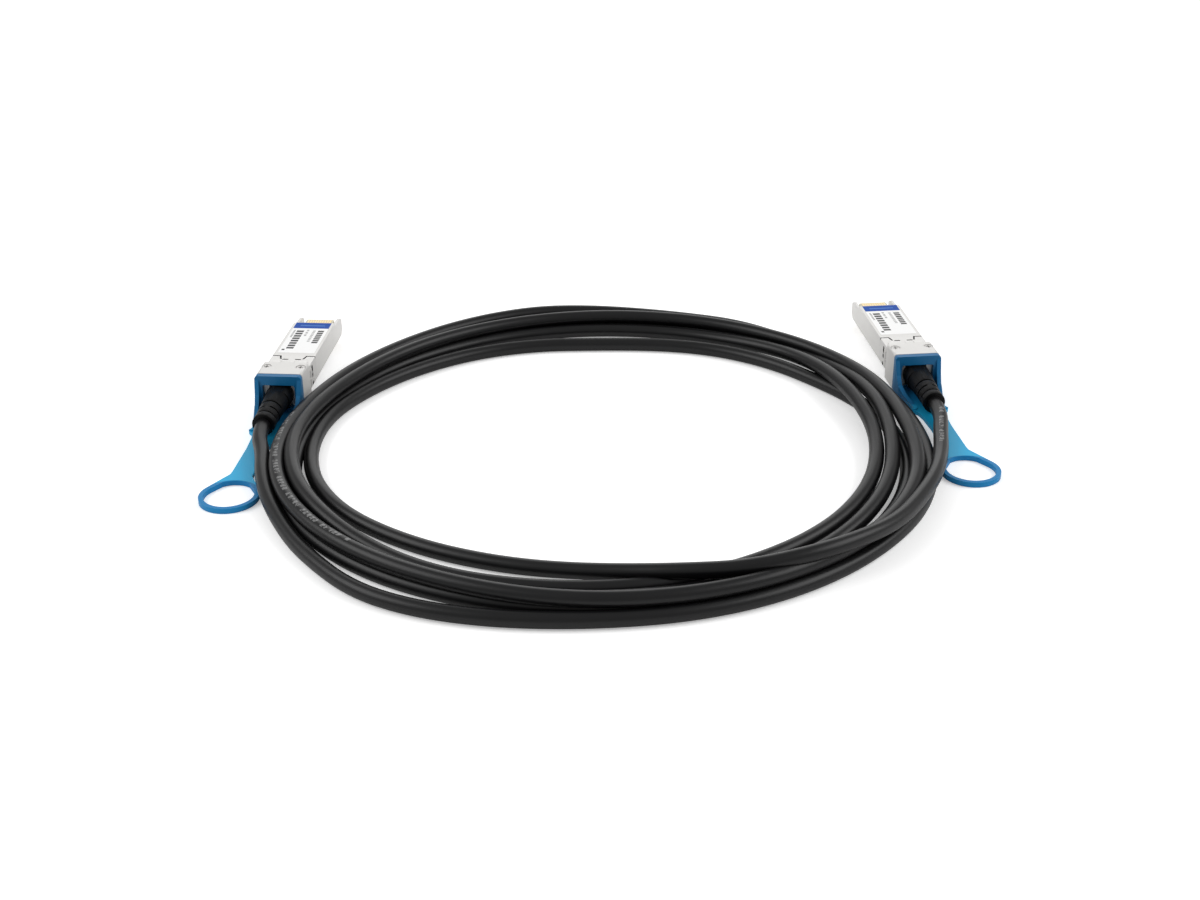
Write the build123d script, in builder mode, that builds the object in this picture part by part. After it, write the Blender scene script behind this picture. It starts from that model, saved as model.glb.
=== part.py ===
"""Direct attach copper cable: two small form factor plugs with pull tabs, joined by a coiled cable.

Millimetres, +Z up, the floor at Z = 0. Each plug is drawn once in a frame of its own, with +Y towards
the mating end and Y = 0 at the rear face of the pull tab's frame, and is then laid at both ends.
"""

import math
import os

from build123d import *

os.makedirs("parts", exist_ok=True)

# Plug nose, after the standard pluggable module outline
NOSE_W = 13.4
NOSE_H = 8.5
NOSE_Z = 1.7
NOSE_LEN = 45.3
NOSE_CHAMFER = 1.1
LID_T = 1.5
SKIRT_LEN = 9.0
SKIRT_T = 0.9
SKIRT_DROP = 1.1

# Rear block that stays outside the cage
REAR_W = 14.0
REAR_RAISE = 1.75
REAR_Y = 2.2
STOP_Y = 11.2

# Circuit card with its edge contacts
CARD_W = 9.2
CARD_T = 1.0
CARD_DROP = 2.25
CARD_SETBACK = 1.0
PAD_PITCH = 0.8
PAD_COUNT = 10
PAD_W = 0.54
PAD_T = 0.08

# Spring collar that grounds the nose in the cage
COLLAR_T = 0.3
COLLAR_LEN = 8.9
FINGER_RISE = 0.28
HOLE_SETBACK = 5.05

# Latch boss and release slider
BOSS_W = 2.6
BOSS_H = 0.45
BOSS_LEN = 2.6
STOP_TO_LATCH = 2.5
CHANNEL_W = 6.3
SLIDER_T = 0.5
SLIDE_GAP = 0.3
PULL = 2.5

# Lid screws, label
SCREW_GAP = 10.48
SCREW_Y = 7.7
HEAD_D = 2.6
SHANK_D = 1.4
LABEL_W = 11.6
LABEL_T = 0.15
LABEL_SETBACK = 0.4
LABEL_GAP = 2.1

# Strain relief boot
ROOT_W = 7.9
ROOT_H = 6.6
ROOT_R = 3.0
BOOT_Z = 5.35
BOOT_D = 7.4
BOOT_WAIST_D = 6.4
BOOT_END_D = 6.6
BOOT_LEN = 15.65
BOOT_DROOP = 1.8
GROOVES = (6.5, 9.7, 12.7)
GROOVE_W = 0.65
GROOVE_DEEP = 0.8
FERRULE_D = 4.2

# Pull tab
TAB_W = 14.2
TAB_Z = 0.1
TAB_FRAME_T = 1.9
WINDOW_W = 9.9
WINDOW_GAP = 0.4
STRAP_T = 1.1
CHEEK_T = 1.25
NECK_Y = -45.2
NECK_R = 3.4
RING_T = 1.5
RING_Y = -55.5
RING_R = 8.2
RING_RIM = 1.3

# Where the plugs lie: x, y and the turn about Z in degrees
PLUGS = {"left": (-97.715, -2.635, -4.44), "right": (96.615, 9.285, 5.58)}

# Cable, the tails' hand-laid points and the outline of the coil
CABLE_D = 4.3
LEFT_TAIL = [
    (-99.15, -21.12, 4.86),
    (-99.69, -28.1, 4.64),
    (-98.3, -38.1, 4.2),
    (-94.8, -51.1, 4.3),
    (-90.0, -64.9, 3.7),
    (-82.9, -79.7, 2.5),
    (-74.5, -90.7, 2.2),
]
RIGHT_TAIL = [
    (98.42, -9.17, 4.86),
    (99.1, -16.13, 4.64),
    (97.6, -26.6, 4.2),
    (94.5, -40.6, 4.5),
    (90.3, -55.6, 6.0),
    (84.5, -68.9, 6.8),
]
COIL_X = -0.785
COIL_Y = -29.095
COIL_H = 8.2
COIL_OUT = {0: 94.7, 23: 95.6, 45: 97.2, 90: 96.2, 135: 94.6, 163: 92.2, 180: 92.6, 200: 92.6, 212: 94.0,
            226: 98.2, 245: 97.4, 270: 95.2, 315: 95.1, 335: 96.6}
COIL_IN = {0: 77.3, 45: 76.3, 90: 70.4, 135: 75.2, 180: 78.0, 225: 74.3, 270: 70.1, 315: 77.0}

# Sizes that follow from the ones above
NOSE_TOP = NOSE_Z + NOSE_H
TIP_Y = STOP_Y + NOSE_LEN
TRAY_Y = TIP_Y - SKIRT_LEN
SPLIT_Z = NOSE_TOP - LID_T
REAR_TOP = NOSE_TOP + REAR_RAISE
CARD_TOP = NOSE_TOP - CARD_DROP
CARD_Z = CARD_TOP - CARD_T
CARD_Y1 = TIP_Y - CARD_SETBACK
CARD_Y0 = STOP_Y + 0.9
COLLAR_Y0 = STOP_Y + 0.2
COLLAR_Y1 = COLLAR_Y0 + COLLAR_LEN
LATCH_Y = STOP_Y + STOP_TO_LATCH
SLIDER_Z = NOSE_Z + SLIDE_GAP
CHANNEL_TOP = SLIDER_Z + SLIDER_T + 0.4
CHANNEL_Y1 = LATCH_Y + BOSS_LEN + 1.6
SLIDER_W = CHANNEL_W - 0.8
SLIDER_Y0 = 0.9
SLIDER_Y1 = LATCH_Y + BOSS_LEN - 0.2
PRONG_X = BOSS_W / 2 + 0.35
FORK_Y = LATCH_Y - PULL - 0.3
SLIDER_LOW = TAB_Z + 0.55
JOGGLE_Y = REAR_Y + 0.6
LUG_Y = JOGGLE_Y + 1.8
REAR_WALL = 1.2
ROOM_Y = REAR_Y + REAR_WALL
ROOM_W = 7.8
ROOM_Z = CHANNEL_TOP + 0.3
WIRE_Z = 6.0
SEAT_Z = REAR_TOP - 0.9
LABEL_Y0 = COLLAR_Y1 + LABEL_GAP
LABEL_LEN = TRAY_Y - LABEL_SETBACK - LABEL_Y0
WINDOW_Z = BOOT_Z - ROOT_H / 2 - WINDOW_GAP
WINDOW_TOP = BOOT_Z + ROOT_H / 2 + WINDOW_GAP
SLEEVE_Y = -PULL - WINDOW_GAP
SIDE_Z = NOSE_TOP - 4.2
SPRING_Y0 = LUG_Y + 0.7
SPRING_Y1 = FORK_Y - 0.8
CENTRED = (Align.CENTER, Align.CENTER, Align.MIN)
FROM_REAR = (Align.CENTER, Align.MIN, Align.MIN)


def nose_outline(inset):
    """The nose's section in X and Z, with its chamfered lower edges, drawn in by inset."""
    half = NOSE_W / 2 - inset
    low = NOSE_Z + inset
    high = NOSE_TOP - inset
    cut = NOSE_CHAMFER
    return [
        (half, low + cut),
        (half, high),
        (-half, high),
        (-half, low + cut),
        (-half + cut, low),
        (half - cut, low),
    ]


def cross_plane(y):
    """A plane across the plug at y, drawn in X and Z, whose normal points to the mating end."""
    return Plane(origin=(0, y, 0), x_dir=(-1, 0, 0), z_dir=(0, 1, 0))


# Lower housing: die-cast tray with the nose, its two skirts, the rear block and the latch boss
with BuildPart() as tray:
    with Locations((0, STOP_Y, NOSE_Z)):
        Box(NOSE_W, TRAY_Y - STOP_Y, SPLIT_Z - NOSE_Z, align=FROM_REAR)
    chamfer(tray.edges().filter_by(Axis.Y).group_by(Axis.Z)[0], NOSE_CHAMFER)
    with Locations((0, REAR_Y, 0)):
        Box(REAR_W, STOP_Y - REAR_Y, SPLIT_Z, align=FROM_REAR)
    chamfer(tray.edges().filter_by(Axis.Y).group_by(Axis.Z)[0], 0.5)
    skirt_low = NOSE_Z + NOSE_CHAMFER
    skirt_high = NOSE_TOP - SKIRT_DROP
    for side in (-1, 1):
        inner = side * (NOSE_W / 2 - SKIRT_T)
        with BuildSketch(Plane.YZ.offset(inner)):
            Polygon(
                (TRAY_Y, skirt_low),
                (TIP_Y - 1.6, skirt_low),
                (TIP_Y, skirt_low + 1.6),
                (TIP_Y, skirt_high - 1.2),
                (TIP_Y - 2.4, skirt_high),
                (TRAY_Y, skirt_high),
                align=None,
            )
        extrude(amount=side * SKIRT_T)
    # room for the card, the space under it, and the room at the cable's end
    with Locations((0, CARD_Y0 - 0.1, CARD_Z)):
        Box(CARD_W + 0.3, TRAY_Y - CARD_Y0 + 0.1, 3, align=FROM_REAR, mode=Mode.SUBTRACT)
    with Locations((0, CHANNEL_Y1 + 0.6, NOSE_Z + 1.0)):
        Box(CARD_W - 1.0, TRAY_Y, CARD_Z - NOSE_Z - 1.0, align=FROM_REAR, mode=Mode.SUBTRACT)
    with Locations((0, ROOM_Y, WIRE_Z)):
        Box(ROOM_W, CARD_Y0 - ROOM_Y, 3, align=FROM_REAR, mode=Mode.SUBTRACT)
    with Locations((0, ROOM_Y, ROOM_Z)):
        Box(ROOM_W, 2.1, 3, align=FROM_REAR, mode=Mode.SUBTRACT)
    with Locations((0, REAR_Y, ROOM_Z)):
        Box(ROOM_W - 1.2, REAR_WALL, 6, align=FROM_REAR, mode=Mode.SUBTRACT)
    # channel of the release slider, and the groove that takes the collar
    with Locations((0, REAR_Y, NOSE_Z)):
        Box(CHANNEL_W, CHANNEL_Y1 - REAR_Y, CHANNEL_TOP - NOSE_Z, align=FROM_REAR, mode=Mode.SUBTRACT)
    with Locations((0, REAR_Y, 0)):
        Box(CHANNEL_W, LUG_Y - REAR_Y - 0.2, CHANNEL_TOP, align=FROM_REAR, mode=Mode.SUBTRACT)
    with BuildSketch(cross_plane(COLLAR_Y0)):
        Rectangle(2 * NOSE_W, 4 * NOSE_H)
        Polygon(*nose_outline(COLLAR_T), align=None, mode=Mode.SUBTRACT)
    extrude(amount=COLLAR_LEN, mode=Mode.SUBTRACT)
    # latch boss, square at the back and sloped at the front, and the lug behind the return spring
    with BuildSketch(Plane.YZ.offset(-BOSS_W / 2)):
        Polygon(
            (LATCH_Y, CHANNEL_TOP),
            (LATCH_Y, NOSE_Z - BOSS_H),
            (LATCH_Y + 1.1, NOSE_Z - BOSS_H),
            (LATCH_Y + BOSS_LEN, NOSE_Z + 0.3),
            (LATCH_Y + BOSS_LEN, CHANNEL_TOP),
            align=None,
        )
    extrude(amount=BOSS_W)
    with Locations((0, LUG_Y, SLIDER_Z)):
        Box(1.6, 0.6, CHANNEL_TOP - SLIDER_Z, align=FROM_REAR)
    with Locations((-SCREW_GAP / 2, SCREW_Y, 4.4), (SCREW_GAP / 2, SCREW_Y, 4.4)):
        Cylinder(SHANK_D / 2 + 0.02, 6, align=CENTRED, mode=Mode.SUBTRACT)

# Top cover: flat over the nose, raised over the rear block
with BuildPart() as cover:
    with Locations((0, REAR_Y, SPLIT_Z)):
        Box(REAR_W, STOP_Y - REAR_Y, REAR_TOP - SPLIT_Z, align=FROM_REAR)
    fillet(cover.edges().filter_by(Axis.Y).group_by(Axis.Z)[-1], 0.8)
    chamfer(cover.edges().filter_by(Axis.X).group_by(Axis.Z)[-1].sort_by(Axis.Y)[-1], 0.35)
    with Locations((0, STOP_Y, SPLIT_Z)):
        Box(NOSE_W, TRAY_Y - STOP_Y, NOSE_TOP - SPLIT_Z, align=FROM_REAR)
    chamfer(cover.edges().filter_by(Axis.X).group_by(Axis.Y)[-1].sort_by(Axis.Z)[-1], 0.3)
    with Locations((0, ROOM_Y, SPLIT_Z)):
        Box(ROOM_W, STOP_Y - ROOM_Y, REAR_TOP - 0.9 - SPLIT_Z, align=FROM_REAR, mode=Mode.SUBTRACT)
    with Locations((0, STOP_Y - 0.1, SPLIT_Z)):
        Box(CARD_W - 0.4, TRAY_Y - STOP_Y - 2, 0.5, align=FROM_REAR, mode=Mode.SUBTRACT)
    with BuildSketch(cross_plane(COLLAR_Y0)):
        Rectangle(2 * NOSE_W, 4 * NOSE_H)
        Polygon(*nose_outline(COLLAR_T), align=None, mode=Mode.SUBTRACT)
    extrude(amount=COLLAR_LEN, mode=Mode.SUBTRACT)
    with Locations((0, LABEL_Y0, NOSE_TOP - LABEL_T)):
        Box(LABEL_W, LABEL_LEN, 1, align=FROM_REAR, mode=Mode.SUBTRACT)
    with Locations((-SCREW_GAP / 2, SCREW_Y, SEAT_Z), (SCREW_GAP / 2, SCREW_Y, SEAT_Z)):
        Cylinder(HEAD_D / 2 + 0.2, 3, align=CENTRED, mode=Mode.SUBTRACT)
    with Locations((-SCREW_GAP / 2, SCREW_Y, 0), (SCREW_GAP / 2, SCREW_Y, 0)):
        Cylinder(SHANK_D / 2 + 0.02, REAR_TOP, align=CENTRED, mode=Mode.SUBTRACT)

# Spring collar: thin band in the groove round the nose, with corner slots, holes and bowed fingers
with BuildPart() as collar:
    with BuildSketch(cross_plane(COLLAR_Y0)):
        Polygon(*nose_outline(0), align=None)
        Polygon(*nose_outline(COLLAR_T), align=None, mode=Mode.SUBTRACT)
    extrude(amount=COLLAR_LEN)
    with BuildSketch(Plane.YZ.offset(-1.3)) as bow:
        with BuildLine():
            ThreePointArc(
                (COLLAR_Y0 + 0.5, NOSE_TOP),
                (COLLAR_Y0 + 2.6, NOSE_TOP + FINGER_RISE),
                (COLLAR_Y0 + 4.7, NOSE_TOP),
            )
            Line((COLLAR_Y0 + 4.7, NOSE_TOP), (COLLAR_Y0 + 0.5, NOSE_TOP))
        make_face()
    bows = extrude(bow.sketch, amount=2.6, mode=Mode.PRIVATE)
    for shift in (-4.1, 0, 4.1):
        add(Location((shift, 0, 0)) * bows)
    with BuildSketch(Plane.YZ.offset(-1.2)) as side_bow:
        with BuildLine():
            ThreePointArc(
                (COLLAR_Y0 + 0.4, NOSE_TOP),
                (COLLAR_Y0 + 1.8, NOSE_TOP + FINGER_RISE),
                (COLLAR_Y0 + 3.2, NOSE_TOP),
            )
            Line((COLLAR_Y0 + 3.2, NOSE_TOP), (COLLAR_Y0 + 0.4, NOSE_TOP))
        make_face()
    side_bows = extrude(side_bow.sketch, amount=2.4, mode=Mode.PRIVATE)
    for side in (-1, 1):
        for shift in (-1.5, 1.5):
            beside = Location((side * (NOSE_W / 2 - NOSE_TOP), 0, SIDE_Z + shift), (0, side * 90, 0))
            add(beside * side_bows)
    with Locations((0, COLLAR_Y0, NOSE_Z)):
        Box(CHANNEL_W + 0.5, CHANNEL_Y1 - COLLAR_Y0 + 0.3, 2 * COLLAR_T, align=FROM_REAR, mode=Mode.SUBTRACT)
    # corner slots, each a cross cut with a slanting leg, and the short slots between the fingers
    for side in (-1, 1):
        with BuildSketch(Plane.XY.offset(NOSE_TOP - 2 * COLLAR_T)):
            with Locations((side * 5.45, COLLAR_Y1 - 0.55)):
                Rectangle(3.0, 0.5)
            Polygon(
                (side * 3.9, COLLAR_Y1 - 0.3),
                (side * 4.45, COLLAR_Y1 - 0.3),
                (side * 3.75, COLLAR_Y1 - 3.0),
                (side * 3.2, COLLAR_Y1 - 3.0),
                align=None,
            )
            with Locations((side * 2.0, COLLAR_Y1 - 3.2)):
                SlotOverall(2.0, 0.6)
        extrude(amount=1.5, mode=Mode.SUBTRACT)
    with BuildSketch(Plane.YZ.offset(-NOSE_W)):
        with Locations((COLLAR_Y1 - HOLE_SETBACK, SIDE_Z + 2.1)):
            SlotOverall(1.6, 0.75, rotation=90)
        with Locations((COLLAR_Y1 - HOLE_SETBACK, SIDE_Z), (COLLAR_Y1 - HOLE_SETBACK, SIDE_Z - 2.76)):
            Circle(0.42)
    extrude(amount=2 * NOSE_W, mode=Mode.SUBTRACT)

# Circuit card and its edge contacts
with BuildPart() as card:
    with Locations((0, CARD_Y0, CARD_Z)):
        Box(CARD_W, CARD_Y1 - CARD_Y0, CARD_T, align=FROM_REAR)
    chamfer(card.edges().filter_by(Axis.Z).group_by(Axis.Y)[-1], 0.4)
with BuildPart() as contacts:
    for index in range(PAD_COUNT):
        across = (index - (PAD_COUNT - 1) / 2) * PAD_PITCH
        long = 5.2 if index in (0, 3, 6, 9) else 4.6
        back = CARD_Y1 - 0.5 - long
        with Locations((across, back, CARD_TOP), (across, back, CARD_Z - PAD_T)):
            Box(PAD_W, long, PAD_T, align=FROM_REAR)

# Conductors from the cable's end to the card, and the ferrule crimped on the cable's screen
with BuildPart() as conductors:
    for across in (-1.5, -0.5, 0.5, 1.5):
        with BuildLine() as wire_path:
            FilletPolyline(
                (across, ROOM_Y + 2.1, WIRE_Z + 0.8),
                (across, ROOM_Y + 3.4, WIRE_Z + 0.8),
                (across, STOP_Y + 0.3, CARD_TOP + 0.46),
                (across, STOP_Y + 4.2, CARD_TOP + 0.46),
                radius=0.9,
            )
        with BuildSketch(Plane(origin=wire_path.line @ 0, z_dir=wire_path.line % 0)):
            Circle(0.42)
        sweep()
with BuildPart() as ferrule:
    with BuildSketch(cross_plane(ROOM_Y + REAR_WALL)):
        with Locations((0, BOOT_Z)):
            Circle(FERRULE_D / 2)
    extrude(amount=0.9)

# Lid screws: cross-recessed heads in the counterbores
with BuildPart() as screws:
    with Locations((-SCREW_GAP / 2, SCREW_Y, SEAT_Z), (SCREW_GAP / 2, SCREW_Y, SEAT_Z)):
        Cylinder(HEAD_D / 2, 0.7, align=CENTRED)
    with Locations((-SCREW_GAP / 2, SCREW_Y, 4.5), (SCREW_GAP / 2, SCREW_Y, 4.5)):
        Cylinder(SHANK_D / 2, SEAT_Z - 4.5, align=CENTRED)
    with Locations((-SCREW_GAP / 2, SCREW_Y, SEAT_Z + 0.3), (SCREW_GAP / 2, SCREW_Y, SEAT_Z + 0.3)):
        Box(1.6, 0.36, 1, align=CENTRED, mode=Mode.SUBTRACT)
        Box(0.36, 1.6, 1, align=CENTRED, mode=Mode.SUBTRACT)

# Label on the cover
with BuildPart() as label:
    with Locations((0, LABEL_Y0, NOSE_TOP - LABEL_T)):
        Box(LABEL_W, LABEL_LEN, LABEL_T, align=FROM_REAR)

# Boot: a neck and flange gripped by the rear wall, a block through the tab's frame, a grooved sleeve
droop = math.radians(BOOT_DROOP)
boot_axis = (0, -math.cos(droop), -math.sin(droop))
boot_plane = Plane(origin=(0, SLEEVE_Y, BOOT_Z), x_dir=(1, 0, 0), z_dir=boot_axis)
with BuildPart() as boot:
    with BuildSketch(cross_plane(SLEEVE_Y - 0.5)):
        with Locations((0, BOOT_Z)):
            RectangleRounded(ROOT_W, ROOT_H, ROOT_R)
    extrude(amount=REAR_Y - SLEEVE_Y + 0.5)
    # relief over the slider, which comes back through here with the tab
    with Locations((0, REAR_Y - PULL + 0.9, 0)):
        Box(CHANNEL_W, PULL, CHANNEL_TOP, align=FROM_REAR, mode=Mode.SUBTRACT)
    with Locations((0, REAR_Y, ROOM_Z)):
        Box(ROOM_W - 1.2, REAR_WALL, SPLIT_Z - ROOM_Z, align=FROM_REAR)
    with Locations((0, ROOM_Y, ROOM_Z)):
        Box(ROOM_W - 0.2, REAR_WALL, SPLIT_Z - ROOM_Z, align=FROM_REAR)
    with BuildSketch(boot_plane):
        Circle(BOOT_D / 2)
    with BuildSketch(boot_plane.offset(BOOT_LEN - 2.3)):
        Circle(BOOT_WAIST_D / 2)
    loft()
    with BuildSketch(boot_plane.offset(BOOT_LEN - 2.3)):
        Circle(BOOT_END_D / 2)
    extrude(amount=2.3)
    # staggered flex grooves, above and below, then on the two flanks
    for index, reach in enumerate(GROOVES):
        with BuildSketch(boot_plane.offset(reach)):
            Circle(BOOT_D)
            Circle(BOOT_D / 2 - 0.3 - GROOVE_DEEP, mode=Mode.SUBTRACT)
            Rectangle(*((2 * BOOT_D, 1.5) if index % 2 == 0 else (1.5, 2 * BOOT_D)), mode=Mode.SUBTRACT)
        extrude(amount=GROOVE_W, mode=Mode.SUBTRACT)

# Pull tab: a frame round the boot, cheeks down to a strap along the floor, and a finger ring
cheek_side = [(TAB_W / 2, 0), (6.7, -4.0), (5.9, -8.5), (5.0, -13.0), (4.9, -14.2), (5.5, -15.4)]
strap_side = [
    (TAB_W / 2, 1.0),
    *cheek_side,
    (4.1, -17.0),
    (3.5, -20.0),
    (3.1, -27.0),
    (3.1, -41.0),
    (NECK_R, NECK_Y),
]
with BuildPart() as cheeks:
    with BuildSketch(Plane.XY.offset(TAB_Z)):
        Polygon(*cheek_side, *[(x - CHEEK_T, y) for x, y in reversed(cheek_side)], align=None)
        mirror(about=Plane.YZ)
    extrude(amount=REAR_TOP - TAB_Z)
    with BuildSketch(Plane.YZ):
        Polygon(
            (1.0, TAB_Z),
            (1.0, REAR_TOP - 1.1),
            (0, REAR_TOP - 1.1),
            (-0.7, 9.0),
            (-1.7, 6.5),
            (-3.4, 4.0),
            (-7.2, 2.5),
            (-11.5, 1.8),
            (-15.6, 1.6),
            (-15.6, TAB_Z),
            align=None,
        )
    extrude(amount=TAB_W, both=True, mode=Mode.INTERSECT)
with BuildSketch() as finger_hole:
    with Locations((0, RING_Y)):
        Circle(RING_R - RING_RIM)
    with Locations((-2.3, RING_Y + 7.0), (2.3, RING_Y + 7.0)):
        Circle(1.2)
    make_hull()
with BuildPart() as tab:
    with BuildSketch(cross_plane(0)):
        with Locations((0, (TAB_Z + REAR_TOP) / 2)):
            RectangleRounded(TAB_W, REAR_TOP - TAB_Z, 1.1)
        with Locations((0, (WINDOW_Z + WINDOW_TOP) / 2)):
            RectangleRounded(WINDOW_W, WINDOW_TOP - WINDOW_Z, 0.7, mode=Mode.SUBTRACT)
    extrude(amount=TAB_FRAME_T)
    add(cheeks.part)
    with BuildSketch(Plane.XY.offset(TAB_Z)):
        Polygon(*strap_side, *[(-x, y) for x, y in reversed(strap_side)], align=None)
    extrude(amount=STRAP_T)
    with BuildSketch(Plane.XY.offset(TAB_Z)):
        with Locations((0, RING_Y)):
            Circle(RING_R)
        with Locations((0, NECK_Y)):
            Circle(NECK_R)
        make_hull()
        add(finger_hole.sketch, mode=Mode.SUBTRACT)
    extrude(amount=RING_T)
    # seat of the slider's rear end in the frame's lower bar
    with Locations((0, SLIDER_Y0, SLIDER_LOW)):
        Box(SLIDER_W, TAB_FRAME_T, SLIDER_T, align=FROM_REAR, mode=Mode.SUBTRACT)

# Release slider: stepped up from the tab into the housing, with a window for the spring and a fork
# beside the latch boss that ends in two kicker ramps
with BuildPart() as slider:
    with BuildSketch(Plane.YZ.offset(-SLIDER_W / 2)):
        Polygon(
            (SLIDER_Y0, SLIDER_LOW),
            (JOGGLE_Y, SLIDER_LOW),
            (JOGGLE_Y + 1.4, SLIDER_Z),
            (SLIDER_Y1, SLIDER_Z),
            (SLIDER_Y1, SLIDER_Z + SLIDER_T),
            (JOGGLE_Y + 1.2, SLIDER_Z + SLIDER_T),
            (JOGGLE_Y - 0.2, SLIDER_LOW + SLIDER_T),
            (SLIDER_Y0, SLIDER_LOW + SLIDER_T),
            align=None,
        )
    extrude(amount=SLIDER_W)
    with Locations((0, FORK_Y, SLIDER_Z)):
        Box(2 * PRONG_X, TIP_Y, SLIDER_T, align=FROM_REAR, mode=Mode.SUBTRACT)
    with Locations((0, LUG_Y - 0.3, SLIDER_Z)):
        Box(2.4, FORK_Y - LUG_Y - 0.4, SLIDER_T, align=FROM_REAR, mode=Mode.SUBTRACT)
    for side in (-1, 1):
        with BuildSketch(Plane.YZ.offset(side * PRONG_X)):
            Polygon(
                (SLIDER_Y1 - 2.0, SLIDER_Z),
                (SLIDER_Y1 - 0.6, SLIDER_Z - 0.25),
                (SLIDER_Y1, SLIDER_Z - 0.25),
                (SLIDER_Y1, SLIDER_Z),
                align=None,
            )
        extrude(amount=side * (SLIDER_W / 2 - PRONG_X))

# Return spring: a folded strip between the lug and the front of the slider's window
with BuildPart() as spring:
    with BuildSketch(Plane.XY.offset(NOSE_Z)):
        with BuildLine():
            folds = 6
            step = (SPRING_Y1 - SPRING_Y0) / folds
            Polyline(*[(0.8 * (-1) ** k, SPRING_Y0 + 0.1 + k * (step - 0.03)) for k in range(folds + 1)])
        trace(line_width=0.2)
    extrude(amount=0.75)

# Lay every piece of the plug at both ends
pieces = {
    "lower_housing": tray,
    "top_cover": cover,
    "spring_collar": collar,
    "circuit_card": card,
    "edge_contacts": contacts,
    "conductors": conductors,
    "ferrule": ferrule,
    "cover_screws": screws,
    "label": label,
    "boot": boot,
    "pull_tab": tab,
    "release_slider": slider,
    "return_spring": spring,
}
for end, (x, y, turn) in PLUGS.items():
    place = Location((x, y, 0), (0, 0, turn))
    for name, block in pieces.items():
        laid = place * block.part
        laid.label = end + "_" + name
        export_step(laid, "parts/" + end + "_" + name + ".step")


def corner_radii(points):
    """Arc radius at each inner point: tangent arcs that use 0.45 of the shorter run beside it."""
    radii = []
    for before, here, after in zip(points, points[1:], points[2:]):
        come = Vector(*here) - Vector(*before)
        go = Vector(*after) - Vector(*here)
        half = math.radians(come.get_angle(go)) / 2
        radii.append(0.45 * min(come.length, go.length) / math.tan(half))
    return radii


# The cable's two tails, each a plain tube from its boot to the coil
with BuildPart() as left_tail:
    with BuildLine() as left_path:
        FilletPolyline(*LEFT_TAIL, radius=corner_radii(LEFT_TAIL))
    with BuildSketch(Plane(origin=left_path.line @ 0, z_dir=left_path.line % 0)):
        Circle(CABLE_D / 2)
    sweep()
left_tail.part.label = "left_tail"
export_step(left_tail.part, "parts/left_tail.step")

with BuildPart() as right_tail:
    with BuildLine() as right_path:
        FilletPolyline(*RIGHT_TAIL, radius=corner_radii(RIGHT_TAIL))
    with BuildSketch(Plane(origin=right_path.line @ 0, z_dir=right_path.line % 0)):
        Circle(CABLE_D / 2)
    sweep()
right_tail.part.label = "right_tail"
export_step(right_tail.part, "parts/right_tail.step")

for name, points, path, tube in (
    ("left tail", LEFT_TAIL, left_path.wires()[0], left_tail.part),
    ("right tail", RIGHT_TAIL, right_path.wires()[0], right_tail.part),
):
    runs = [round((Vector(*b) - Vector(*a)).length, 1) for a, b in zip(points, points[1:])]
    print(name, "runs", runs, "radii", [round(r, 1) for r in corner_radii(points)])
    section = math.pi * CABLE_D ** 2 / 4
    print(name, "length", round(path.length, 1), "volume ratio", round(tube.volume / (section * path.length), 4))


def ring_points(radii):
    """Points of the coil's outline from radii given by angle in degrees."""
    return [
        (COIL_X + r * math.cos(math.radians(a)), COIL_Y + r * math.sin(math.radians(a)))
        for a, r in radii.items()
    ]


# The coil's outer shape, one closed ring that the loose turns fill, with a seat where each tail joins it
with BuildPart() as coil:
    with BuildSketch():
        with BuildLine():
            Spline(*ring_points(COIL_OUT), periodic=True)
        make_face()
        with BuildLine():
            Spline(*ring_points(COIL_IN), periodic=True)
        make_face(mode=Mode.SUBTRACT)
    extrude(amount=COIL_H)
    fillet(coil.edges().group_by(Axis.Z)[-1], 3.0)
    fillet(coil.edges().group_by(Axis.Z)[0], 1.2)
    add(left_tail.part, mode=Mode.SUBTRACT)
    add(right_tail.part, mode=Mode.SUBTRACT)
coil.part.label = "coil"
export_step(coil.part, "parts/coil.step")
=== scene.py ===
"""Looks of the coiled direct attach cable: camera, cable, finishes, floor and light.

Sizes are in millimetres unless a comment says otherwise. The scene is in metres, with +Z up.
"""

import math

import bmesh
import bpy
from mathutils import Matrix, Vector


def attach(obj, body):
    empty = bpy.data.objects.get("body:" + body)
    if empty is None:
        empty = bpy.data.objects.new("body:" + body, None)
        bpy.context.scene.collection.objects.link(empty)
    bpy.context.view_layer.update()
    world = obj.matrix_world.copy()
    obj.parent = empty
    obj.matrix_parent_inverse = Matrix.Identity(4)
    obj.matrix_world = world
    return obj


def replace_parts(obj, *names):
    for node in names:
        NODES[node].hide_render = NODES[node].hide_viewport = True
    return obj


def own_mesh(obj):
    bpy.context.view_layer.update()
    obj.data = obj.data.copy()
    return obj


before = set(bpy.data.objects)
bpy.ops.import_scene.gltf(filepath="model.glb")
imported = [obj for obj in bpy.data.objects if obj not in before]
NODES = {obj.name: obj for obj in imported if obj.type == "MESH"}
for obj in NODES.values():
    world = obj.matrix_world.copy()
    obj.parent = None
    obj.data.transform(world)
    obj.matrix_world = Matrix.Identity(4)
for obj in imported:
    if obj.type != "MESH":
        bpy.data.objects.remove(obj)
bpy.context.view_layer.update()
SCENE = bpy.context.scene
MM = 0.001

# Where the plugs lie, as in the solids: x, y and the turn about Z in degrees
PLUGS = {"left": (-97.715, -2.635, -4.44), "right": (96.615, 9.285, 5.58)}
# Places along a plug: the label's middle and the finger ring's middle
LABEL_MIDDLE = 34.75
RING_Y = -55.5

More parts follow.
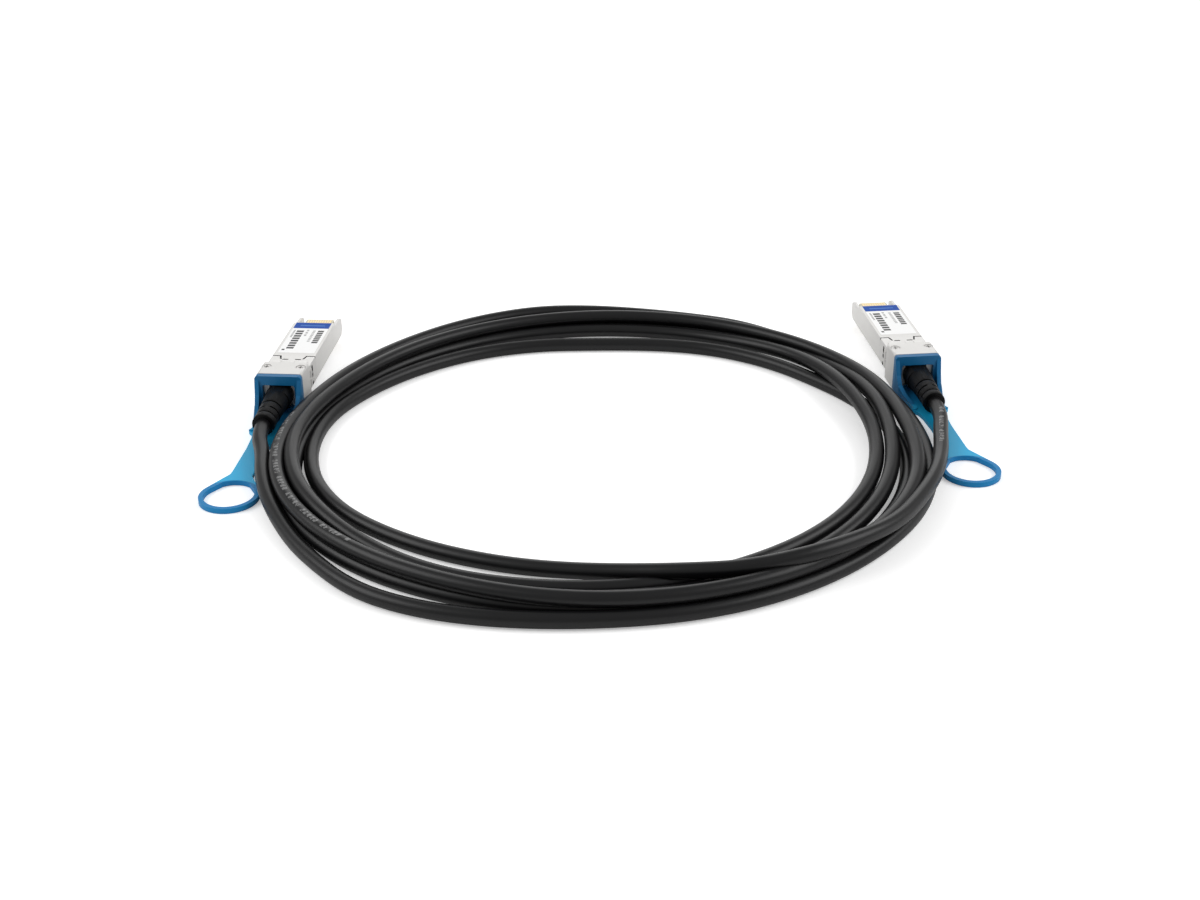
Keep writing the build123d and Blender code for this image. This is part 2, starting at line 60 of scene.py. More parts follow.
# Camera of the photograph: the picture's width and the focal length in pixels, the sensor's width, the
# nearest distance shown and the eye's place in metres, and the angles in degrees
PHOTO_WIDTH = 1200
FOCAL_PIXELS = 1600
SENSOR_WIDTH = 36
NEAREST = 0.01
EYE = (-0.00119, -0.4411, 0.2062)
LOOK_DOWN = 26.6
ROLL = -0.4

# Cable: its diameter, how finely it is drawn round and along, and its two tails'
# points as in the solids, some of them moved to follow the photograph
CABLE_DIAMETER = 4.3
ROUND_STEPS = 5
LINE_STEPS = 6
LEFT_TAIL = [
    (-99.15, -21.12, 4.86),
    (-99.3, -28.1, 4.64),
    (-96.2, -38.1, 4.2),
    (-94.1, -51.1, 4.3),
    (-90.0, -64.9, 3.7),
    (-82.9, -79.7, 2.5),
    (-75.6, -91.7, 2.2),
]
RIGHT_TAIL = [
    (98.42, -9.17, 4.86),
    (99.1, -16.13, 4.64),
    (97.0, -26.6, 4.2),
    (94.5, -40.6, 4.5),
    (90.3, -55.6, 6.0),
    (84.5, -68.9, 6.8),
]

# Lay of the turns about the coil's middle. Each station is an angle in degrees, counted on from turn to
# turn, a radius and a height.
COIL_X = -0.785
COIL_Y = -29.095
COIL_START = 232
COIL_END = 2124
COIL_STEP = 10
FLOOR_Z = CABLE_DIAMETER / 2
UPPER_Z = 5.9
LAY = [
    # first turn: out along the floor, up onto the others at the back
    (225, 98.9, FLOOR_Z), (236, 99.7, FLOOR_Z), (250, 97.0, FLOOR_Z), (262, 94.4, FLOOR_Z),
    (272, 93.1, FLOOR_Z), (315, 92.6, FLOOR_Z), (340, 93.3, FLOOR_Z), (360, 92.1, FLOOR_Z),
    (390, 93.4, FLOOR_Z), (408, 95.8, FLOOR_Z), (422, 97.6, 2.9), (436, 95.4, 3.6),
    (450, 93.4, 5.4), (462, 93.2, 6.4), (478, 92.0, 6.2), (495, 90.0, UPPER_Z),
    (510, 88.9, UPPER_Z), (523, 88.7, UPPER_Z),
    # second turn: on top all round, with a hump at the right
    (533, 89.6, UPPER_Z), (545, 91.2, UPPER_Z), (560, 92.0, UPPER_Z), (585, 91.0, UPPER_Z),
    (605, 90.0, UPPER_Z), (630, 90.6, UPPER_Z), (660, 90.8, UPPER_Z), (690, 90.6, UPPER_Z),
    (705, 89.6, 6.5), (720, 87.2, 7.6), (735, 87.7, 7.4), (750, 89.2, 6.3),
    (765, 89.7, UPPER_Z), (810, 88.0, UPPER_Z), (855, 85.8, UPPER_Z), (870, 85.2, UPPER_Z),
    (883, 85.8, UPPER_Z), (900, 87.2, 6.3),
    # third turn: down to the floor at the front, over the fifth at the right
    (920, 87.4, 6.2), (935, 86.0, 4.9), (948, 84.2, 2.9), (960, 82.8, 2.2),
    (975, 81.0, 2.2), (990, 79.5, 2.2), (1005, 78.6, 2.2), (1020, 77.4, 2.2),
    (1040, 77.3, 2.4), (1060, 77.8, 3.3), (1080, 78.2, 5.0), (1098, 78.6, 6.6),
    (1112, 81.2, 6.0), (1125, 84.0, 4.4), (1145, 85.4, 2.4), (1170, 85.0, FLOOR_Z),
    (1215, 85.2, FLOOR_Z), (1240, 85.5, FLOOR_Z), (1260, 86.4, FLOOR_Z),
    # fourth turn: along the floor, with a hump over the fifth at the right
    (1280, 87.6, FLOOR_Z), (1305, 88.3, FLOOR_Z), (1320, 87.2, FLOOR_Z), (1335, 85.5, FLOOR_Z),
    (1350, 84.3, FLOOR_Z), (1375, 83.6, FLOOR_Z), (1395, 82.8, 2.4), (1420, 82.6, 4.2),
    (1436, 82.3, 5.9), (1450, 83.4, 6.6), (1460, 85.0, 6.2), (1485, 88.6, 3.0),
    (1530, 89.9, FLOOR_Z), (1575, 89.2, FLOOR_Z), (1600, 89.6, FLOOR_Z), (1620, 90.6, FLOOR_Z),
    # fifth turn: along the floor, in under the third and fourth
    (1645, 91.8, FLOOR_Z), (1665, 91.6, FLOOR_Z), (1682, 90.4, FLOOR_Z), (1695, 89.5, FLOOR_Z),
    (1710, 88.6, FLOOR_Z), (1755, 88.3, FLOOR_Z), (1785, 87.0, FLOOR_Z), (1800, 85.6, FLOOR_Z),
    (1819, 82.4, FLOOR_Z), (1830, 79.6, FLOOR_Z), (1844, 78.5, FLOOR_Z), (1860, 77.2, FLOOR_Z),
    (1875, 74.6, FLOOR_Z), (1890, 72.7, FLOOR_Z), (1905, 74.8, FLOOR_Z), (1920, 77.0, FLOOR_Z),
    (1935, 78.6, FLOOR_Z), (1950, 80.5, FLOOR_Z), (1965, 82.8, FLOOR_Z), (1980, 82.8, FLOOR_Z),
    # last stretch: inside the others, then over them all to the right plug
    (1995, 81.8, FLOOR_Z), (2010, 79.4, FLOOR_Z), (2025, 75.9, FLOOR_Z), (2046, 72.4, FLOOR_Z),
    (2070, 72.7, 2.9), (2085, 80.4, 5.9), (2095, 86.8, 7.4), (2103, 91.0, 9.3),
    (2111, 93.2, 9.5), (2122, 93.9, 7.8),
]


def photo_camera():
    """The camera at the photograph's place and angle."""
    data = bpy.data.cameras.new("photo_camera")
    data.sensor_width = SENSOR_WIDTH
    data.lens = SENSOR_WIDTH * FOCAL_PIXELS / PHOTO_WIDTH
    data.clip_start = NEAREST
    camera = bpy.data.objects.new("photo_camera", data)
    turn = Matrix.Rotation(math.radians(90 - LOOK_DOWN), 4, "X")
    roll = Matrix.Rotation(math.radians(ROLL), 4, "Z")
    camera.matrix_world = Matrix.Translation(EYE) @ turn @ roll
    SCENE.collection.objects.link(camera)
    SCENE.camera = camera


def lay_at(angle):
    """Radius and height of the lay at an angle, on smooth curves through the stations."""
    index = max(row for row in range(len(LAY) - 1) if LAY[row][0] <= angle or row == 0)
    before = LAY[max(index - 1, 0)]
    here, there = LAY[index], LAY[index + 1]
    after = LAY[min(index + 2, len(LAY) - 1)]
    span = there[0] - here[0]
    share = (angle - here[0]) / span
    rest = 1 - share
    values = []
    for axis in (1, 2):
        leave = (there[axis] - before[axis]) / (there[0] - before[0]) * span
        arrive = (after[axis] - here[axis]) / (after[0] - here[0]) * span
        values.append(
            here[axis] * (1 + 2 * share) * rest**2
            + there[axis] * (1 + 2 * rest) * share**2
            + leave * share * rest**2
            - arrive * rest * share**2
        )
    return values


def coil_points():
    """Control points of the turns, set out a little so that the spline runs on the lay's radius."""
    count = round((COIL_END - COIL_START) / COIL_STEP)
    # beside a point, a spline of order 3 has this share of it and the rest of its two neighbours
    own_share = 0.75
    outset = 1 / (own_share + (1 - own_share) * math.cos(math.radians(COIL_STEP)))
    points = []
    for step in range(count + 1):
        angle = COIL_START + (COIL_END - COIL_START) * step / count
        radius, height = lay_at(angle)
        across = math.radians(angle)
        reach = radius * outset
        points.append((COIL_X + reach * math.cos(across), COIL_Y + reach * math.sin(across), height))
    return points


def cable(finish):
    """The whole cable from boot to boot, one round line."""
    data = bpy.data.curves.new("cable", "CURVE")
    data.dimensions = "3D"
    data.bevel_depth = CABLE_DIAMETER / 2 * MM
    data.bevel_resolution = ROUND_STEPS
    data.resolution_u = LINE_STEPS
    data.use_fill_caps = True
    line = data.splines.new("NURBS")
    points = LEFT_TAIL + coil_points() + RIGHT_TAIL[::-1]
    line.points.add(len(points) - 1)
    for point, place in zip(line.points, points):
        point.co = (*(value * MM for value in place), 1)
    line.order_u = 3
    line.use_endpoint_u = True
    piece = bpy.data.objects.new("cable", data)
    data.materials.append(finish)
    SCENE.collection.objects.link(piece)
    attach(piece, "cable")
    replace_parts(piece, "coil", "left_tail", "right_tail")


class Value:
    """A shader socket that can be used in sums."""

    def __init__(self, finish, socket):
        self.finish = finish
        self.socket = socket

    def apply(self, operation, *others):
        """The result of a Math operation on this value and any others."""
        return self.finish.node("Math", {"operation": operation}, dict(enumerate((self, *others))))

    def between(self, low, high):
        """1 where the value lies between two others, and 0 elsewhere."""
        return (self > low) * (self < high)

    def __add__(self, other):
        return self.apply("ADD", other)

    __radd__ = __add__

    def __sub__(self, other):
        return self.apply("SUBTRACT", other)

    def __rsub__(self, other):
        return self.finish.node("Math", {"operation": "SUBTRACT"}, {0: other, 1: self})

    def __mul__(self, other):
        return self.apply("MULTIPLY", other)

    __rmul__ = __mul__

    def __truediv__(self, other):
        return self.apply("DIVIDE", other)

    def __gt__(self, other):
        return self.apply("GREATER_THAN", other)

    def __lt__(self, other):
        return self.apply("LESS_THAN", other)


class Finish:
    """A material with one shader, whose nodes are added one by one."""

    def __init__(self, name, **plain):
        self.material = bpy.data.materials.new(name)
        self.begin(self.material, "Principled BSDF", plain)

    def begin(self, block, shader, plain):
        """Takes up the nodes of a material or world, with its shader's plain values."""
        block.use_nodes = True
        self.tree = block.node_tree
        self.shader = self.tree.nodes[shader]
        self.set(self.shader, plain)

    def set(self, node, sockets):
        """Sets or links the sockets of a node, given by name with _ for a space, or by number."""
        for name, value in sockets.items():
            socket = node.inputs[name.replace("_", " ") if isinstance(name, str) else name]
            if isinstance(value, Value):
                self.tree.links.new(value.socket, socket)
            elif socket.type == "RGBA" and len(value) == 3:
                socket.default_value = (*value, 1)
            else:
                socket.default_value = value

    def node(self, kind, settings=None, sockets=None, output=0):
        """One output of a new node, whose settings are set first and then its sockets."""
        node = self.tree.nodes.new("ShaderNode" + kind)
        for name, value in (settings or {}).items():
            setattr(node, name, value)
        self.set(node, sockets or {})
        return Value(self, node.outputs[output])

    def place(self, location=(0, 0, 0), turn=0):
        """Object coordinates seen from a place that is turned about Z."""
        coords = self.node("TexCoord", output="Object")
        sockets = {"Vector": coords, "Location": location, "Rotation": (0, 0, turn)}
        return self.node("Mapping", {"vector_type": "TEXTURE"}, sockets)

    def axes(self, x, y, turn=0):
        """The three coordinates in millimetres, seen from a place that is turned by some degrees."""
        where = self.place((x * MM, y * MM, 0), math.radians(turn))
        return [self.node("SeparateXYZ", sockets={"Vector": where}, output=axis) / MM for axis in "XYZ"]

    def plug(self, end):
        """Across, along and up in millimetres, in the frame of the plug at an end."""
        return self.axes(*PLUGS[end])

    def rise(self, value, start, full):
        """From 0 where a value is at the start to 1 where it is at the full one, smoothly."""
        settings = {"interpolation_type": "SMOOTHSTEP"}
        return self.node("MapRange", settings, {"Value": value, "From_Min": start, "From_Max": full})

    def noise(self, per_mm, detail, where=None):
        """Cloudy noise with so many waves per millimetre."""
        sockets = {"Vector": where or self.place(), "Scale": per_mm / MM, "Detail": detail}
        return self.node("TexNoise", sockets=sockets)

    def mix(self, share, first, second):
        """From the first colour to the second by the share."""
        # by number, because a Mix node has other sockets of the same names
        return self.node("Mix", {"data_type": "RGBA"}, {0: share, 6: first, 7: second}, output=2)

    def bump(self, height, depth_mm, strength):
        """Sets the shader's normal from a height that stands for so many millimetres."""
        sockets = {"Height": height, "Distance": depth_mm * MM, "Strength": strength}
        self.set(self.shader, {"Normal": self.node("Bump", sockets=sockets)})

    def surface(self, **sockets):
        """Links what changes over the surface."""
        self.set(self.shader, sockets)


class Surround(Finish):
    """The world around the scene, made of nodes in the same way."""

    def __init__(self, name, **plain):
        SCENE.world = bpy.data.worlds.new(name)
        self.begin(SCENE.world, "Background", plain)


# Spring collar in the plug's frame: rear and front of its groove, the lowest height given painted shade, and
# how far its inner side reaches aside, up and past the groove's rear
COLLAR_REAR = 11.4
COLLAR_FRONT = 20.3
COLLAR_LOW = 3.0
COLLAR_INSIDE = 6.67
COLLAR_INSIDE_TOP = 10.17
COLLAR_LAP = 0.5
# Holes in its side walls: how far along, the heights of the two round ones and of the slot's two ends, the
# distance aside past which the walls lie, and the squared radii between which a rim of painted shade fades in
HOLE_ALONG = 15.25
HOLE_HEIGHTS = (3.24, 6.0, 7.7, 8.5)
HOLE_ASIDE = 6.0
RIM_FADE = (0.76, 0.46)
# Stretch of the fine lines along the roll
ROLL_STRETCH = (1, 0.06, 1)


def die_cast_finish(end):
    """Plated die casting: pale warm grey with a fine grain, and painted shade in the groove under the collar.
    """
    finish = Finish("die_cast_" + end, Metallic=0.3)
    along, up = finish.plug(end)[1:]
    cloud = finish.noise(per_mm=0.12, detail=4)
    grain = finish.noise(per_mm=4.0, detail=2)
    # painted shade: the cover under the collar is near black, as the groove's floor in shadow seen through
    # the slots
    groove_shade = along.between(COLLAR_REAR, COLLAR_FRONT) * (up > COLLAR_LOW)
    metal = finish.mix(cloud, (0.70, 0.69, 0.67), (0.77, 0.76, 0.74))
    finish.surface(
        Base_Color=finish.mix(groove_shade, metal, (0.005, 0.005, 0.005)),
        Roughness=0.38 + 0.12 * grain,
    )
    finish.bump(grain, depth_mm=0.02, strength=0.5)
    return finish.material


def spring_steel_finish(end):
    """Rolled strip: glossier than the casting, with fine lines, and painted shade inside the collar and round
    its holes.
    """
    finish = Finish("spring_steel_" + end, Metallic=0.65)
    across, along, up = finish.plug(end)
    stretched = finish.node("Mapping", sockets={"Vector": finish.place(), "Scale": ROLL_STRETCH})
    lines = finish.noise(per_mm=6.0, detail=2, where=stretched)
    aside = across.apply("ABSOLUTE")
    # painted shade: the collar's inner side is near black
    inner_shade = (aside < COLLAR_INSIDE) * up.between(COLLAR_LOW, COLLAR_INSIDE_TOP)
    inner_shade = inner_shade * (along > COLLAR_REAR - COLLAR_LAP)
    behind = along - HOLE_ALONG
    # painted shade: a near-black rim round each hole, wider than the hole itself
    rim_shade = 0
    for height in HOLE_HEIGHTS:
        over = up - height
        rim_shade = finish.rise(behind * behind + over * over, *RIM_FADE) * (aside > HOLE_ASIDE) + rim_shade
    steel = finish.mix(lines, (0.66, 0.65, 0.635), (0.75, 0.74, 0.72))
    finish.surface(
        Base_Color=finish.mix(inner_shade + rim_shade, steel, (0.012, 0.012, 0.012)),
        Roughness=0.30 + 0.14 * lines,
    )
    return finish.material


def clouded(name, per_mm, dull, bright, smooth, spread, **plain):
    """A finish whose colour and roughness both waver with one noise."""
    finish = Finish(name, **plain)
    cloud = finish.noise(per_mm, detail=2)
    finish.surface(Base_Color=finish.mix(cloud, dull, bright), Roughness=smooth + spread * cloud)
    return finish.material


def card_finish():
    """Circuit card: bare pale laminate, faintly mottled."""
    return clouded(
        "card",
        per_mm=2.5,
        dull=(0.58, 0.54, 0.41),
        bright=(0.68, 0.64, 0.50),
        smooth=0.32,
        spread=0.10,
        Specular_IOR_Level=0.5,
    )


def gold_finish():
    """Gold plating of the edge contacts."""
    return clouded(
        "gold",
        per_mm=3.0,
        dull=(0.80, 0.60, 0.30),
        bright=(0.90, 0.72, 0.40),
        smooth=0.22,
        spread=0.16,
        Metallic=1.0,
    )


def screw_finish():
    """Zinc-plated screw heads."""
    return clouded(
        "screw",
        per_mm=3.0,
        dull=(0.56, 0.55, 0.54),
        bright=(0.70, 0.69, 0.67),
        smooth=0.28,
        spread=0.15,
        Metallic=1.0,
    )


def ferrule_finish():
    """Tinned ferrule on the cable's screen."""
    return clouded(
        "ferrule",
        per_mm=2.0,
        dull=(0.62, 0.60, 0.56),
        bright=(0.75, 0.73, 0.70),
        smooth=0.30,
        spread=0.20,
        Metallic=1.0,
    )


def insulation_finish():
    """Pale insulation of the conductors."""
    return clouded(
        "insulation",
        per_mm=1.0,
        dull=(0.62, 0.61, 0.58),
        bright=(0.70, 0.69, 0.66),
        smooth=0.40,
        spread=0.10,
    )


# Pull tab in the plug's frame: the height below which the thin strap gets painted light, where along that
# light fades in (painted boot shadow nearer the frame), the squared radii about the ring's middle where that
# ends, and where along the frame's painted shade turns to the ring's blue
STRAP_TOP = 1.75
STRAP_LIGHT_FADE = (-6, -20)
RING_EDGE = (66, 74)
FRAME_SHADE_TO_RING = (-10, -44)


def tab_finish(end):
    """Blue moulded plastic of the pull tab, satin with a slight flow, paler with painted light where the
    strap is thin, darker with painted shade on the frame.
    """
    finish = Finish("tab_" + end, Specular_IOR_Level=0.25)
    across, along, up = finish.plug(end)
    cloud = finish.noise(per_mm=0.25, detail=3)
    grain = finish.noise(per_mm=5.0, detail=2)
    behind = along - RING_Y
    beside_ring = finish.rise(across * across + behind * behind, *RING_EDGE)
    # painted light: the thin strap is paler, fading out towards the frame as a painted shadow of the boot
    strap_light = (up < STRAP_TOP) * finish.rise(along, *STRAP_LIGHT_FADE) * beside_ring
    # painted shade: the frame is a darker copy of the tab's blue, turning to the ring's own blue further back
    frame_shade_blue = finish.mix(cloud, (0.005, 0.118, 0.28), (0.007, 0.143, 0.33))
    thick = finish.mix(finish.rise(along, *FRAME_SHADE_TO_RING), frame_shade_blue, (0.004, 0.195, 0.46))
    finish.surface(
        Base_Color=finish.mix(strap_light, thick, (0.012, 0.40, 0.70)),
        Roughness=0.36 + 0.1 * grain,
    )
    finish.bump(grain, depth_mm=0.012, strength=0.4)
    return finish.material


def boot_finish():
    """Black moulded rubber of the boot."""
    finish = Finish("boot", Specular_IOR_Level=0.16)
    cloud = finish.noise(per_mm=0.5, detail=3)
    grain = finish.noise(per_mm=6.0, detail=2)
    finish.surface(
        Base_Color=finish.mix(cloud, (0.002, 0.002, 0.0023), (0.004, 0.004, 0.0045)),
        Roughness=0.42 + 0.14 * grain,
    )
    finish.bump(grain, depth_mm=0.015, strength=0.5)
    return finish.material


# Pale marks on the jacket, seen from the coil's middle with angles in degrees from its left. The left run
# follows a turn that bends inward from its outermost point, and the right run follows the right tail.
MARK_HALF = 0.7
LEFT_RUN_RADIUS = 92.0
LEFT_RUN_OUTERMOST = 20
LEFT_RUN_BEND = 0.002
LEFT_RUN_ENDS = (-8, 46)
LEFT_RUN_LOW = 6.6
RIGHT_RUN_X = 97.4
RIGHT_RUN_SLOPE = 0.189
RIGHT_RUN_ENDS = (-9, 14)
RIGHT_RUN_LOW = 4.9
# How many marks and groups of marks there are in a degree, the share of each that is printed, the noise
# that breaks the marks up and how strong they are
MARKS_PER_DEGREE = 0.93
GROUPS_PER_DEGREE = 0.155
MARK_SHARE = 0.7
GROUP_SHARE = 0.8
BREAKS_PER_MM = 1.3
BREAK_LEVEL = 0.44
MARK_STRENGTH = 0.4


def jacket_finish():
    """Black extruded jacket: satin, with a faint waver and grain, and pale marks along two short runs."""
    finish = Finish("jacket", Specular_IOR_Level=0.34)
    cloud = finish.noise(per_mm=0.08, detail=4)
    grain = finish.noise(per_mm=3.0, detail=3)
    x, y, z = finish.axes(COIL_X, COIL_Y)
    angle = (0 - y).apply("ARCTAN2", 0 - x) * math.degrees(1)
    radius = (x * x + y * y).apply("SQRT")
    bend = angle - LEFT_RUN_OUTERMOST
    aside = radius - LEFT_RUN_RADIUS + bend * bend * LEFT_RUN_BEND
    at_left = aside.between(-MARK_HALF, MARK_HALF) * (z > LEFT_RUN_LOW) * angle.between(*LEFT_RUN_ENDS)
    aside = x - RIGHT_RUN_X - y * RIGHT_RUN_SLOPE
    at_right = aside.between(-MARK_HALF, MARK_HALF) * (z > RIGHT_RUN_LOW) * y.between(*RIGHT_RUN_ENDS)
    printed = (angle * MARKS_PER_DEGREE).apply("FRACT") < MARK_SHARE
    printed = printed * ((angle * GROUPS_PER_DEGREE).apply("FRACT") < GROUP_SHARE)
    printed = printed * (finish.noise(BREAKS_PER_MM, detail=1) > BREAK_LEVEL)
    marks = (at_left + at_right) * printed
    black = finish.mix(cloud, (0.0028, 0.0028, 0.0032), (0.0055, 0.0055, 0.006))
    finish.surface(
        Base_Color=finish.mix(marks * MARK_STRENGTH, black, (0.40, 0.40, 0.40)),
        Roughness=0.30 + 0.08 * cloud + 0.05 * grain,
    )
    finish.bump(grain, depth_mm=0.02, strength=0.35)
    return finish.material


# Label print, from the label's middle: left, right, rear and front of the band, of its bar and of the rows of
# dashes, and for each row how dark it is and the pitch of its dashes
BAND = (-5.8, 5.8, 7.6, 12.4)
BAND_BAR = (-3.9, 4.1, 9.55, 10.35)
ROWS = [
    (2.9, 4.85, -4.5, 6.3, 1.0, 1.54),
    (1.2, 2.1, -3.4, 6.3, 0.5, 1.2),
    (-0.85, -0.1, 1.2, 6.4, 0.5, 2.1),
    (-4.0, -1.65, -9.2, 6.2, 0.95, 1.95),
    (-5.1, -4.45, 0.0, 6.0, 0.65, 1.1),
    (-5.1, -4.2, -10.6, -9.5, 0.9, 3.0),
]
DASH_SHARE = 0.6
GAP_INK = 0.2
BAR_STRENGTH = 0.55


def label_finish(end):
    """White label with a deep blue band at the mating end and plain dashes, set square on its plug."""
    finish = Finish("label_" + end, Specular_IOR_Level=0.15)
    across, along = finish.plug(end)[:2]
    along = along - LABEL_MIDDLE

    def field(left, right, rear, front):
        return across.between(left, right) * along.between(rear, front)

    ink = 0
    for left, right, rear, front, dark, pitch in ROWS:
        dash = ((along - rear) / pitch).apply("FRACT") < DASH_SHARE
        ink = field(left, right, rear, front) * (GAP_INK + (1 - GAP_INK) * dash) * dark + ink
    cloud = finish.noise(per_mm=0.6, detail=2)
    white = finish.mix(cloud, (0.93, 0.93, 0.925), (0.96, 0.96, 0.955))
    paper = finish.mix(ink, white, (0.012, 0.012, 0.013))
    blue = finish.mix(field(*BAND_BAR) * BAR_STRENGTH, (0.010, 0.075, 0.38), (0.12, 0.28, 0.64))
    finish.surface(
        Base_Color=finish.mix(field(*BAND), paper, blue),
        Roughness=0.5 + 0.12 * cloud,
    )
    return finish.material


def finished(shape, name):
    """The mesh of a finished shape."""
    mesh = bpy.data.meshes.new(name)
    shape.to_mesh(mesh)
    shape.free()
    return mesh


def plug_place(end):
    """From the frame of a plug to the shared one."""
    x, y, turn = PLUGS[end]
    return Matrix.Translation((x * MM, y * MM, 0)) @ Matrix.Rotation(math.radians(turn), 4, "Z")


def show(mesh, finish, body="cable"):
    """A piece of the given mesh, finish and body, with the mesh's name."""
    mesh.materials.clear()
    mesh.materials.append(finish)
    piece = bpy.data.objects.new(mesh.name, mesh)
    SCENE.collection.objects.link(piece)
    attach(piece, body)
    return piece


# Moulded and cast pieces: the width of their rounded edges and their slot
ROUNDED = {
    "pull_tab": (0.28, "tab"),
    "boot": (0.2, "boot"),
    "lower_housing": (0.14, "die_cast"),
    "top_cover": (0.16, "die_cast"),
}
# Rounding: corners this close are one, faces within FLAT_ANGLE degrees are flat, and edges sharper than
# EDGE_ANGLE are rounded in so many steps
SAME_CORNER = 0.002
FLAT_ANGLE = 1
EDGE_ANGLE = 38
EDGE_STEPS = 2


def softened(name, width):
    """A copy of a solid's mesh with its edges rounded by a width."""
    shape = bmesh.new()
    shape.from_mesh(NODES[name].data)
    bmesh.ops.remove_doubles(shape, verts=shape.verts, dist=SAME_CORNER * MM)
    bmesh.ops.dissolve_limit(
        shape, angle_limit=math.radians(FLAT_ANGLE), verts=shape.verts, edges=shape.edges
    )
    rough = bpy.data.objects.new(name + "_rough", finished(shape, name + "_rough"))
    SCENE.collection.objects.link(rough)
    edge = rough.modifiers.new("edge", "BEVEL")
    edge.width = width * MM
    edge.segments = EDGE_STEPS
    edge.limit_method = "ANGLE"
    edge.angle_limit = math.radians(EDGE_ANGLE)
    edge.use_clamp_overlap = True
    edge.harden_normals = True
    done = bpy.data.meshes.new_from_object(rough.evaluated_get(bpy.context.evaluated_depsgraph_get()))
    bpy.data.objects.remove(rough)
    done.name = name + "_soft"
    return done


# Slit over the nose at the front of the raised block: along, half its width, bottom and top. The plate that
# closes it is set back a little and laps past the slit's ends.
SLIT = (11.2, 3.9, 10.2, 11.05)
PLATE_THICK = 0.4
PLATE_SET_BACK = 0.25
PLATE_WIDER = 0.2
PLATE_HIGHER = 0.1


def step_plate(end, finish):
    """Closes the slit at the front of the raised block, which leads into the wire room."""
    along, half, low, high = SLIT
    middle = Matrix.Translation((0, (along - PLATE_SET_BACK) * MM, (low + high) / 2 * MM))
    sides = (2 * half + PLATE_WIDER, PLATE_THICK, high - low + PLATE_HIGHER)
    size = Matrix.Diagonal((*(side * MM for side in sides), 1))
    shape = bmesh.new()
    bmesh.ops.create_cube(shape, size=1, matrix=plug_place(end) @ middle @ size)
    show(finished(shape, end + "_step_plate"), finish)


# Lip of the finger hole: half its width, its reach to the front and to the rear of the ring's middle, and its
# section as steps outward and heights
LIP_HALF = 6.85
LIP_FRONT = 8.1
LIP_REAR = 6.85
LIP_SIDES = 72
LIP_SECTION = [
    (0.85, 0.12),
    (0.12, 0.12),
    (0, 0.3),
    (0, 1.38),
    (0.08, 1.53),
    (0.25, 1.61),
    (0.85, 1.61),
]


def finger_lip(end, finish):
    """Rounds the finger hole to an even oval."""
    shape = bmesh.new()
    rows = []
    for side in range(LIP_SIDES):
        angle = math.tau * side / LIP_SIDES
        reach = LIP_FRONT if math.sin(angle) > 0 else LIP_REAR
        row = []
        for out, height in LIP_SECTION:
            across = (LIP_HALF + out) * math.cos(angle)
            along = RING_Y + (reach + out) * math.sin(angle)
            row.append(shape.verts.new((across * MM, along * MM, height * MM)))
        rows.append(row)
    for row, following in zip(rows, rows[1:] + rows[:1]):
        for corner in range(len(row)):
            previous = corner - 1
            shape.faces.new((row[previous], row[corner], following[corner], following[previous]))
    bmesh.ops.recalc_face_normals(shape, faces=shape.faces)
    shape.transform(plug_place(end))
    show(finished(shape, end + "_finger_lip"), finish, end + "_release")


def pressed_spring(end, finish):
    """The return spring's folded strip, a copy of its solid shown in its place."""
    name = end + "_return_spring"
    mesh = NODES[name].data.copy()
    mesh.name = name + "_strip"
    piece = show(mesh, finish)
    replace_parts(piece, name)
    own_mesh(piece)


def dress():
    """Gives every node of the two plugs its finish, and the moulded and cast ones rounded edges."""
    shared = {
        "circuit_card": card_finish(),
        "edge_contacts": gold_finish(),
        "conductors": insulation_finish(),
        "ferrule": ferrule_finish(),
        "cover_screws": screw_finish(),
        "boot": boot_finish(),
    }
    for end in PLUGS:
        casting = die_cast_finish(end)
        steel = spring_steel_finish(end)
        tab = tab_finish(end)
        step_plate(end, casting)
        pressed_spring(end, steel)
        finger_lip(end, tab)
        finishes = {
            **shared,
            "lower_housing": casting,
            "top_cover": casting,
            "spring_collar": steel,
            "release_slider": steel,
            "return_spring": steel,
            "pull_tab": tab,
            "label": label_finish(end),
        }
        for kind, finish in finishes.items():
            name = end + "_" + kind
            NODES[name].data.materials.clear()
            NODES[name].data.materials.append(finish)
            if kind in ROUNDED:
                width, slot = ROUNDED[kind]
                body = end + "_release" if kind == "pull_tab" else "cable"
                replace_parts(show(softened(name, width), finish, body), name)


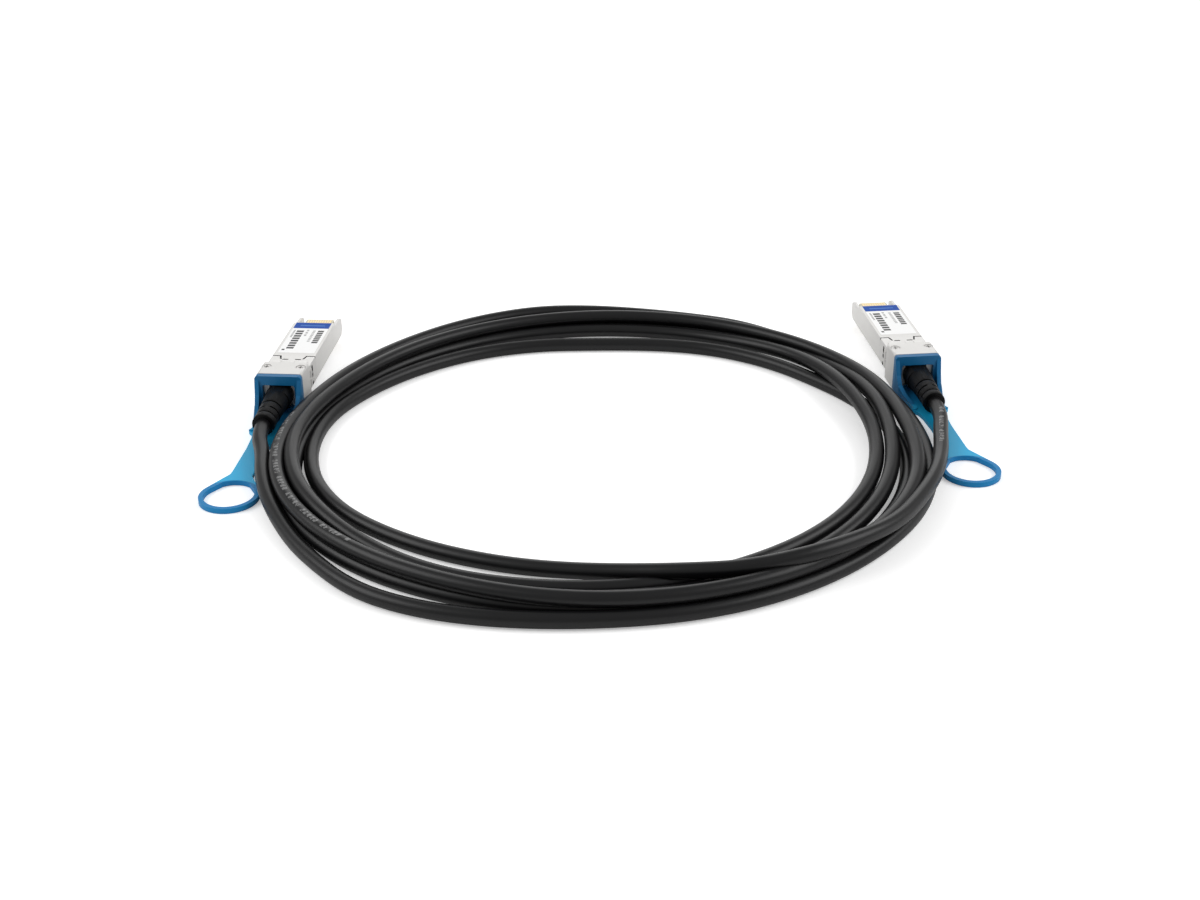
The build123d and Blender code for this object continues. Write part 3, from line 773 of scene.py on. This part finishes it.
# Floor: half its side in metres, its white and how much it glows to the camera
FLOOR_HALF = 2.5
FLOOR_WHITE = (0.97, 0.97, 0.97)
FLOOR_GLOW = 0.32


def floor():
    """Plain pale floor, a touch brighter to the camera so that it stays white around the shadows."""
    finish = Finish("floor", Base_Color=FLOOR_WHITE, Roughness=0.9)
    to_camera = finish.node("LightPath", output="Is Camera Ray")
    finish.surface(Emission_Color=(1, 1, 1), Emission_Strength=to_camera * FLOOR_GLOW)
    mesh = bpy.data.meshes.new("floor")
    corners = [(x * FLOOR_HALF, y * FLOOR_HALF, 0) for x, y in ((-1, -1), (1, -1), (1, 1), (-1, 1))]
    mesh.from_pydata(corners, [], [(0, 1, 2, 3)])
    mesh.materials.append(finish.material)
    piece = bpy.data.objects.new("floor", mesh)
    SCENE.collection.objects.link(piece)


def softbox(name, place, aim, wide, high, power):
    """A soft rectangular lamp at a place, turned to a point."""
    data = bpy.data.lights.new(name, "AREA")
    data.shape = "RECTANGLE"
    data.size = wide
    data.size_y = high
    data.energy = power
    lamp = bpy.data.objects.new(name, data)
    lamp.location = place
    lamp.rotation_euler = (Vector(aim) - Vector(place)).to_track_quat("-Z", "Y").to_euler()
    SCENE.collection.objects.link(lamp)


# Strength of the surround, and how bright the floor looks far away, where no panel lights it
WORLD = 0.46
FAR_FLOOR = 0.77
# Panels, in metres and watts: place, the point they face, width, height and power
PANELS = {
    "back_panel": ((0, 1.1, 0.42), (0, 0, 0.05), 1.0, 0.85, 2.5),
    "left_panel": ((-0.95, -0.12, 0.78), (0, -0.03, 0), 1.0, 0.7, 6.9),
    "right_panel": ((0.95, -0.12, 0.78), (0, -0.03, 0), 1.0, 0.7, 6.9),
}


def studio():
    """Even dim surround, as pale to the camera as the far floor, with a panel behind and one at each side."""
    surround = Surround("studio", Color=(1, 1, 1))
    to_camera = surround.node("LightPath", output="Is Camera Ray")
    surround.surface(Strength=WORLD + (FAR_FLOOR - WORLD) * to_camera)
    for name, panel in PANELS.items():
        softbox(name, *panel)


SCENE.view_settings.view_transform = "Standard"
photo_camera()
cable(jacket_finish())
dress()
floor()
studio()
